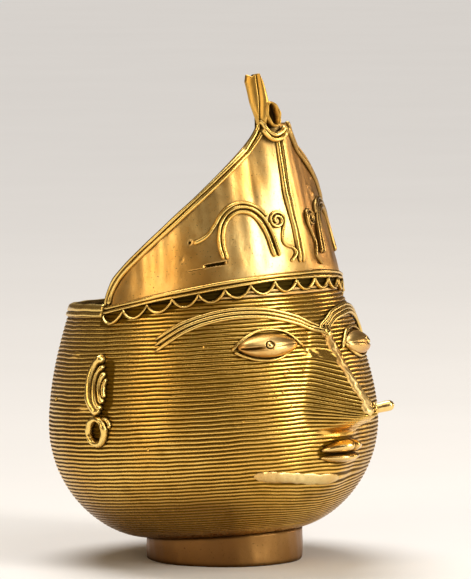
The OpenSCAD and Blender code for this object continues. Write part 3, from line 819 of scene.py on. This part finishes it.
def build_eye(side):
    name = SIDE_NAME[side]
    drop = EYE_DROP[side]
    ball = Form()
    dome(ball, (side * EYE[0], EYE[1] - drop), EYE_HALF, 0, on_wall, EYE_OUT[side],
         rows=64, cols=110, dent=lambda u, v: eye_cuts(side * u, v))
    ball.finish("eyeball_" + name, "pellets", [eye_brass])
    pupil = Form()
    dome(pupil, (side * (EYE[0] + PUPIL_OFFSET[0]), EYE[1] - drop + PUPIL_OFFSET[1]), PUPIL_HALF, 0,
         lambda a, h, lift: on_wall(a, h, eyeball_lift(a, h, side) - 0.3 + lift), PUPIL_OUT,
         pinch=0.5, rows=14, cols=20)
    pupil.finish("pupil_" + name, "pellets", [pellet_brass])
    lids = Form()
    for lid in (UPPER_LID, LOWER_LID):
        path = mirrored(route([(a, h - drop) for a, h in lid]), side)
        lay_wire(lids, path, on_wall, 1.2, 1.15)
    lids.finish("eyelid_wires_" + name, "wires", [wire_brass])


def build_brow(side):
    form = Form()
    lift = 0.0 if side == RIGHT else 0.55
    splay_from = 50 if side == RIGHT else 30
    for k in (-1, 0, 1):
        path = np.array(route(BROWS[side]))
        path[:, 1] += k * 1.4 * (1 + 1.2 * np.clip(path[:, 0] / splay_from - 1, 0, None))
        lay_wire(form, mirrored(path, side), on_face, 1.45, 1.0, lift)
    form.finish("brow_wires_" + SIDE_NAME[side], "wires", [wire_brass])


def lay_patch(form, a, h, v, swell, lumps):
    """Wax smeared over the threads. a and h are its places, and v runs from edge to edge, -1 to 1."""
    domed = swell * np.sqrt(np.clip(1 - v * v, 0, 1)) * (1 + lumps)
    form.slab(on_face(a, h, domed - 0.02), on_face(a, h, -0.7), 0.25 * np.abs(v) ** 4)


def build_nose_strip():
    """The lumpy strip that hides the join down the ridge of the nose."""
    form = Form()
    u, v = np.meshgrid(np.linspace(0, 1, 150), np.linspace(1, -1, 11), indexing="ij")
    ragged = Unevenness(12, 5, 0.8)
    h = 41 + 31 * u
    upper_end = ramp(12 * (1 - u), -0.2, 0.8)
    half = 1.4 * (1 + 0.12 * ragged.at(8 * v, h)) * ramp(14 * u, -0.3, 0.7) * upper_end
    a = 0.7 + 0.12 * ragged.at(0 * h, h * 0.6) + half * v
    swell = 0.75 * ramp(14 * u, -0.2, 0.8) * upper_end
    lay_patch(form, a, h, v, swell, 0.3 * ragged.at(a * 1.7, h))
    form.finish("nose_bridge_strip", "worn_patch", [strip_brass])


def build_chin_patch():
    form = Form()
    v, u = np.meshgrid(np.linspace(-1, 1, 10), np.linspace(0, 1, 70), indexing="ij")
    ragged = Unevenness(10, 6, 2)
    a = -2 + 36 * u
    half = 1.9 * np.sqrt(ramp(6 * u, -0.15, 0.85) * ramp(8 * (1 - u), -0.15, 0.85))
    half = half * (1 + 0.04 * ragged.at(a, v * 0.4))
    h = lookup(a, [(-2, 18.7), (8, 19.2), (20, 20.8), (34, 22.3)]) + half * v
    swell = 0.42 * ramp(u, 0, 1 / 8) * ramp(u, 1, 7 / 8)
    # The patch is pitted at the ear's end and smooth at the middle of the face.
    lay_patch(form, a, h, v, swell, 0.32 * ramp(u, 0.24, 0.64) * ragged.at(a * 1.7, h))
    form.finish("chin_patch", "worn_patch", [worn_brass])


def build_lips():
    upper = Form()

    def notch(u, v):
        return 0.6 * np.exp(-((u + 0.1) / 0.08) ** 2)

    dome(upper, (0, 29.5), (8.8, 2.45), 0.9, on_face, 5.2, fullness=0.55, rows=18, cols=60, dent=notch)
    upper.finish("upper_lip", "pellets", [pellet_brass])
    lower = Form()
    dome(lower, (-0.4, 26.8), (9.3, 1.7), -0.5, on_face, 4.4, fullness=0.55, rows=18, cols=44)
    lower.finish("lower_lip", "pellets", [pellet_brass])


def build_stud():
    """The round-ended stud in the flank of the nose, and the collar round its foot."""
    azimuth = math.radians(58)
    tilt = math.radians(82)
    rotation = Matrix.Rotation(azimuth, 3, "Z") @ Matrix.Rotation(tilt, 3, "X")
    origin = on_face(np.array(-6.0), np.array(42.5), -0.7)
    turn = np.linspace(0, 2 * math.pi, 24, endpoint=False)

    def rings(profile):
        local = np.array([[(r * math.cos(t), r * math.sin(t), z) for t in turn] for z, r in profile])
        return origin + local @ np.array(rotation).T

    radius = 1.9
    length = 7.0
    cap = [(length + radius * math.sin(t), radius * math.cos(t)) for t in np.radians([0, 20, 40, 58, 74, 85])]
    body = [(radius * 0.6, radius), (2.4, radius * 0.94), (4.2, radius * 0.95), (5.8, radius)]
    stud = Form()
    stud.tube(rings(body + cap), 0.0)
    stud.finish("nose_stud", "pellets", [pellet_brass])
    collar = Form()
    ring = [(1.05, 2.1), (1.25, 2.42), (1.6, 2.45), (1.95, 2.3), (2.12, 1.95), (2.1, 1.76), (1.06, 1.76)]
    collar.tube(rings(ring).transpose(1, 0, 2), [1, 0.3, 0, 0, 0.3, 0.9, 1], closed=True)
    collar.finish("nose_stud_collar", "wires", [wire_brass])


def build_ear(side):
    arcs = [
        (3.6, 3.1, [(89.6, 66.8), (92.6, 64.8), (94.4, 61), (94.9, 57), (94.3, 53.4), (92.6, 50),
                    (89.8, 47)]),
        (2.1, 2.8, [(89.2, 64), (91.2, 61.2), (92, 57.4), (91.7, 54), (90.5, 50.9), (88.8, 48.6)]),
        (2.0, 2.4, [(88.4, 61.6), (89.6, 58.8), (90, 55.8), (89.4, 53), (88.2, 50.8)]),
        (1.4, 1.7, [(87.6, 59.4), (88.2, 57), (88.2, 54.6), (87.6, 52.8)]),
    ]
    form = Form()
    for width, height, path in arcs:
        lay_wire(form, mirrored(route(path), side), on_wall, width, height)
    form.finish("ear_wires_" + SIDE_NAME[side], "wires", [wire_brass])
    ring = Form()
    turn = np.linspace(0, 2 * math.pi, 48, endpoint=False)
    loop = np.stack([90.9 + 3.6 * np.cos(turn), 40.9 + 4.4 * np.sin(turn)], -1)
    lay_wire(ring, mirrored(loop, side), on_wall, 2.5, 2.5, closed=True)
    # The ring's tail: a short curl on its front, towards the face.
    curl = [(88.6, 45.6), (86.6, 44.9), (85.4, 43.4), (85.6, 42)]
    lay_wire(ring, mirrored(route(curl), side), on_wall, 1.3, 1.5)
    ring.finish("ear_ring_" + SIDE_NAME[side], "wires", [wire_brass])


# ---- Crown ---------------------------------------------------

# Marks pressed into the sheet: centre, half size and depth. The pressed ones are painted dark as the shadow
# inside them.
PITS = [
    ((39.6, 6.05), (4.1, 0.5), 1.6), ((47.4, 5.45), (3.8, 0.16), 0.25), ((50, 15.4), (0.8, 0.6), 0.7),
    ((29, 14.5), (0.3, 0.3), 0.15), ((31, 12.4), (0.3, 0.3), 0.15), ((22, 12), (0.35, 0.35), 0.2),
    ((27, 9.5), (0.25, 0.25), 0.12), ((54, 10), (0.35, 0.4), 0.2), ((-22, 30), (0.5, 0.5), -0.5),
    ((-26, 27.5), (0.5, 0.5), -0.5), ((-30, 33), (0.4, 0.4), -0.4),
]

# The hanging wave: its rounds, the azimuth of the first crest, the span of a round and its rise and depth.
FESTOONS = 17
FESTOON_FIRST = 91.2
FESTOON_SPAN = 10.94
FESTOON_CREST = -3.0
FESTOON_DEPTH = 3.7


def festoon_line(a):
    """Rise of the hanging wave: narrow crests under the upper wires, wide rounds below."""
    dip = np.abs(np.sin(np.pi * (FESTOON_FIRST - a) / FESTOON_SPAN)) ** 0.7
    return FESTOON_CREST - FESTOON_DEPTH * dip


def build_crown_sheet():
    form = Form()
    cols = 280
    across = np.sin(np.radians(np.linspace(-90, 90, cols)))
    # Columns are nearly even, and crowd a little at the steep ends. Rows crowd over the threads and the slot.
    a_line = CROWN_SPAN * (0.35 * across + 0.65 * np.linspace(-1, 1, cols))
    up = np.concatenate([np.linspace(0, 0.34, 76), np.linspace(0.34, 1, 46)[1:]])
    a, t = np.meshgrid(a_line, up)
    low = RIM_H - base_height(a)
    rise = low + (edge_rise(a) - low) * t
    hammered = Unevenness(16, 16, 6)
    lift = 0.10 * hammered.at(a, rise) * ramp(rise, 0, 5)
    thread = 0.5 + 0.5 * np.cos(2 * math.pi * (base_height(a) + rise - RIM_H) / THREAD_PITCH)
    threaded = ramp(rise, -2.2, -2.8)
    lift = lift - 0.4 * thread ** 2 * threaded
    in_festoon = ramp(rise - festoon_line(a), -0.2, 0.4) * threaded
    shade = np.maximum(thread ** 2 * threaded, 0.93 * in_festoon)
    for (ca, ch), (wa, wh), deep in PITS:
        d = np.maximum(np.abs(a - ca) / wa, np.abs(rise - ch) / wh)
        share = ramp(d, 1.25, 0.85)
        lift = lift - deep * share
        # Pressed marks get painted shadow inside them.
        if deep > 0:
            shade = np.maximum(shade, share * min(1, deep * 2.2 + 0.3))
    form.slab(on_crown(a, rise, lift), on_crown(a, rise, -CROWN_T), shade, 0.68)
    form.finish("crown_sheet", "crown_sheet", [sheet_brass])


def build_crown_edges(side):
    form = Form()
    line = np.array([CROWN_SPAN * math.sin(math.radians(t)) for t in np.linspace(12, 89.5, 90)])
    edge = np.stack([line, edge_rise(line)], -1)
    # The wires turn up to the finial's foot at their tops.
    for k, tip in ((0, [(10.4, 52.9), (11.2, 51.3), (13, 49.2)]), (1, [(9, 50.7), (10.2, 49), (12.2, 47)])):
        path = np.concatenate([route(tip), offset(edge, -(k + 0.5) * 1.66)])
        lay_wire(form, mirrored(path, side), on_crown, 1.66, 1.35)
    form.finish("crown_edge_wires_" + SIDE_NAME[side], "wires", [wire_brass])


# The middle wires wander as they climb. Pairs are (rise, azimuth).
CENTRE_DRIFT = [(3, -1.2), (15, -0.2), (28, 1.6), (48, 1.6)]


def build_centre_wires():
    form = Form()
    for k in (-0.5, 0.5):
        rise = np.linspace(2.8, 47.6, 50)
        a = lookup(rise, CENTRE_DRIFT) + k * 2.1
        lay_wire(form, np.stack([a, rise], -1), on_crown, 1.75, 1.5)
    form.finish("crown_centre_wires", "wires", [wire_brass])


def build_collar_wires():
    form = Form()
    lower = [(10, 50.9), (8.6, 48.8), (6.6, 47.3), (4.2, 46.7), (1.4, 47.3), (-1.4, 49.4), (-2.6, 51)]
    upper = [(11, 53.6), (9.4, 52.6), (8.4, 50.9), (6.8, 49.4), (4.4, 48.4), (1.4, 49.2), (-1.2, 51.3)]
    for path in (lower, upper):
        lay_wire(form, route(path), on_crown, 1.8, 1.7, lift=1.4)
    form.finish("crown_collar_wires", "wires", [wire_brass])


# Free edges of the finial's two leaves, and the fold between them. Pairs are (rise, azimuth).
FOLD = [(50, 10), (54.4, 10.6), (57, 10.1), (59, 9.6), (62, 9.1), (70, 8.8)]
LEAF_EDGES = {
    RIGHT: [(50, 10.9), (54, 11.7), (56.4, 12.3), (60.3, 13.3), (64.6, 13.6), (68, 14), (70, 13)],
    LEFT: [(50, 7.6), (53, 7.2), (57, 5.8), (60, 5.4), (64, 5.8), (67.5, 6.4), (70, 7.4)],
}


def build_blade(side):
    """A finial leaf: a thin strip, wider towards its top, standing forward along its inner edge."""
    form = Form()
    t, u = np.meshgrid(np.linspace(0, 1, 40), np.linspace(0, 1, 20), indexing="ij")
    rise = 50 + 20 * t
    free = lookup(rise, LEAF_EDGES[side])
    fold = lookup(rise, FOLD) + side * 0.55
    a = free + (fold - free) * u
    stand = 1.6 * ramp(t, 0, 0.25)
    if side == RIGHT:
        stand = stand * (0.3 + 0.7 * u)
        tuck = np.zeros_like(u)
    else:
        # The left leaf is bent back behind the right one, which leaves a crack between them; its tucked part
        # is painted dark as the crack's shadow.
        tuck = ramp(u, 0.72, 1)
        a = a + 1.7 * tuck
        stand = stand - 1.5 * tuck
    rounding = np.sqrt(np.clip(1 - (2 * u - 1) ** 2, 0, 1))
    thick = 1.1 * (0.3 + 0.7 * rounding) + 0.12 * np.sin(7 * t + 2 * side) * rounding
    ragged = 0.4 * np.sin(5 * u + 2 * side) * ramp(t, 0.9, 1)
    front = on_crown(a, rise + ragged, stand + thick)
    back = on_crown(a, rise + ragged, stand)
    # Painted shadow of the crack: the tucked part of the left leaf and the inner edge of each leaf.
    crack = np.maximum(tuck, 0.9 * ramp(u, 0.86, 0.86 + 1 / 9))
    if side == RIGHT:
        front, back = back, front
    form.slab(front, back, crack, crack)
    form.finish("finial_blade_" + SIDE_NAME[side], "wires", [leaf_brass])


def build_cup():
    """A slanting loop of strip in front of the leaves, closed from behind by a floor painted dark as the
    shade inside the cup.
    """
    form = Form()
    turn = np.linspace(0, 2 * math.pi, 60, endpoint=False)
    loop = np.stack([4.7 + 2.6 * np.cos(turn) + 0.5 * np.sin(turn), 55.7 + 4.2 * np.sin(turn)], -1)
    lay_wire(form, loop, on_crown, 1.5, 3.6, closed=True, wobble=0.03)
    v, u = np.meshgrid(np.linspace(0.05, 1, 8), np.linspace(0, 2 * math.pi, 28), indexing="ij")
    a = 4.7 + v * (2.6 * np.cos(u) + 0.5 * np.sin(u))
    rise = 55.7 + 4.2 * v * np.sin(u)
    # The floor is painted dark as the shade inside the cup.
    form.slab(on_crown(a, rise, 0.5 + 0.5 * v), on_crown(a, rise, 0.0), 1.0)
    form.finish("finial_cup", "wires", [leaf_brass])


ARCH = [
    [(48.6, 14.9), (45, 15.6), (41.4, 17), (38, 20), (35.4, 22.8), (32, 24.8), (27.4, 26), (23.4, 25.9),
     (19.6, 24.7), (16, 22.7), (13.4, 20.2)],
    [(35.8, 7.4), (37, 11.8), (37, 15.8), (35.8, 19.7), (32.8, 22.8), (28.8, 24.4), (24.2, 24.4),
     (19.8, 23.2), (16.2, 20.6), (13.8, 17.4), (12, 13.8), (11, 10), (10.2, 5.8)],
    [(34.2, 7.2), (35.2, 11.5), (35.2, 15.6), (33.8, 19), (31.2, 21.5), (27.8, 22.8), (24.6, 22.8),
     (21.2, 21.8), (18, 19.4), (15.8, 16.3), (14.4, 12.4), (13.6, 8.7), (12.6, 5.7)],
]
# The motifs of the left panel mirror those of the right one about a line beside the crease.
MOTIF_AXIS = -3.5


def build_motifs(side):
    arches = Form()
    for path in ARCH:
        lay_wire(arches, mirrored(route(path), side, MOTIF_AXIS), on_crown, 1.5, 1.35)
    arches.finish("arch_wires_" + SIDE_NAME[side], "wires", [wire_brass])
    scroll = Form()
    centre = np.array([8.9, 18.4] if side == RIGHT else [6.9, 18.4])
    t = np.linspace(0, 1, 60)
    turn = np.radians(610 - 595 * t)
    reach = 0.6 + 2.5 * t ** 0.85
    curl = centre + np.stack([-np.cos(turn) * 1.25 * reach, np.sin(turn) * reach], -1)
    if side == RIGHT:
        tail = [(5.3, 17.4), (6.6, 14.6), (7.6, 11.4), (6.2, 9.3), (3, 8.2), (1.6, 6.5), (3, 4.6), (5, 3.5)]
    else:
        tail = [(3.3, 16.8), (5.2, 13), (6.4, 9.6), (5.4, 6.8), (4.8, 5), (6.6, 2.9), (8, 1.8)]
    path = mirrored(np.concatenate([curl, route(tail)]), side, MOTIF_AXIS)
    lay_wire(scroll, path, on_crown, 1.2, 1.2, wobble=0.03)
    scroll.finish("scroll_wire_" + SIDE_NAME[side], "wires", [wire_brass])


def build_headband():
    upper = Form()
    turn = np.linspace(-CROWN_SPAN, CROWN_SPAN, 150)
    for rise, width in ((-0.9, 1.5), (-2.4, 1.3)):
        lay_wire(upper, np.stack([turn, rise + 0 * turn], -1), on_crown, width, 1.2)
    upper.finish("headband_upper_wires", "wires", [wire_brass])
    wave = Form()
    steps = 16
    turn = FESTOON_FIRST - FESTOON_SPAN * np.arange(FESTOONS * steps, -1, -1) / steps
    lay_wire(wave, np.stack([turn, festoon_line(turn)], -1), on_crown, 1.05, 1.25, lift=0.1, wobble=0.05)
    wave.finish("headband_wave_wire", "wires", [wire_brass])


build_wall()
build_foot()
build_rim()
build_nose_strip()
build_chin_patch()
build_lips()
build_stud()
build_crown_sheet()
build_centre_wires()
build_collar_wires()
build_cup()
build_headband()
for side in (RIGHT, LEFT):
    build_eye(side)
    build_brow(side)
    build_ear(side)
    build_crown_edges(side)
    build_motifs(side)
    build_blade(side)


# ---- Stage, light and camera ---------------------------------

# Height at which the lights are aimed, in metres.
POT_MIDDLE = 0.07
CAMERA_AZIMUTH = 48
CAMERA_ELEVATION = 5
CAMERA_DISTANCE = 2.0
CAMERA_LENS = 345.4
# The camera aims at a height on the pot's own axis, moved by some metres right and up in the picture.
AIM_H = 43.0
AIM_RIGHT = 0.0081
AIM_UP = 0.0441


def build_stage():
    floor = bpy.data.meshes.new("floor")
    reach = 30.0
    corners = [(-reach, -reach, 0), (reach, -reach, 0), (reach, reach, 0), (-reach, reach, 0)]
    floor.from_pydata(corners, [], [(0, 1, 2, 3)])
    n = Nodes("pale_floor")
    n.shader.inputs["Roughness"].default_value = 0.75
    n.set(n.shader.inputs["Base Color"], n.mix(n.noise(6), (0.82, 0.80, 0.78), (0.87, 0.85, 0.83)))
    floor.materials.append(n.material)
    in_scene("floor", floor)


def heading(azimuth, elevation):
    """A unit direction out of the pot, from its azimuth and its elevation in degrees."""
    a = math.radians(azimuth)
    e = math.radians(elevation)
    return Vector((-math.sin(a) * math.cos(e), -math.cos(a) * math.cos(e), math.sin(e)))


def facing(direction):
    """The turn of a light or a camera that looks in a direction."""
    return direction.to_track_quat("-Z", "Y").to_euler()


def area_light(name, azimuth, elevation, distance, size, power, colour):
    """A soft rectangular light at a heading from the pot's middle, facing it. size is width, height."""
    away = heading(azimuth, elevation)
    data = bpy.data.lights.new(name, "AREA")
    data.shape = "RECTANGLE"
    data.size, data.size_y = size
    data.energy = power
    data.color = colour
    light = in_scene(name, data)
    light.location = Vector((0, 0, POT_MIDDLE)) + away * distance
    light.rotation_euler = facing(-away)


def build_lights():
    area_light("key_window", -12, 22, 1.3, (0.34, 0.9), 11, (1.0, 0.97, 0.90))
    area_light("side_window", 96, 27, 1.3, (0.5, 0.9), 4.2, (1.0, 0.84, 0.60))
    area_light("far_window", -72, 9, 1.3, (0.4, 0.22), 2.4, (1.0, 0.80, 0.55))
    area_light("sky_panel", 0, 62, 1.4, (0.7, 0.7), 3.2, (1.0, 0.98, 0.95))
    sun = bpy.data.lights.new("daylight", "SUN")
    sun.energy = 2.4
    sun.angle = math.radians(40)
    in_scene("daylight", sun).rotation_euler = (math.radians(22), 0, math.radians(-205))
    world = bpy.data.worlds.new("room")
    world.use_nodes = True
    background = world.node_tree.nodes["Background"]
    background.inputs["Color"].default_value = (0.32, 0.24, 0.15, 1)
    background.inputs["Strength"].default_value = 0.34
    bpy.context.scene.world = world


def build_camera():
    """The photograph's viewing angle, from the figure's right and a little above."""
    away = heading(CAMERA_AZIMUTH, CAMERA_ELEVATION)
    right = (-away).cross(Vector((0, 0, 1))).normalized()
    up = right.cross(-away)
    on_axis = Vector(tilted(np.array([0.0, 0.0, AIM_H])).tolist())
    aim = on_axis + right * AIM_RIGHT + up * AIM_UP
    data = bpy.data.cameras.new("camera")
    data.sensor_width = 36
    data.lens = CAMERA_LENS
    data.clip_end = 20
    camera = in_scene("camera", data)
    camera.location = aim + away * CAMERA_DISTANCE
    camera.rotation_euler = facing(-away)
    bpy.context.scene.camera = camera


build_stage()
build_lights()
build_camera()
bpy.context.scene.view_settings.view_transform = "Standard"
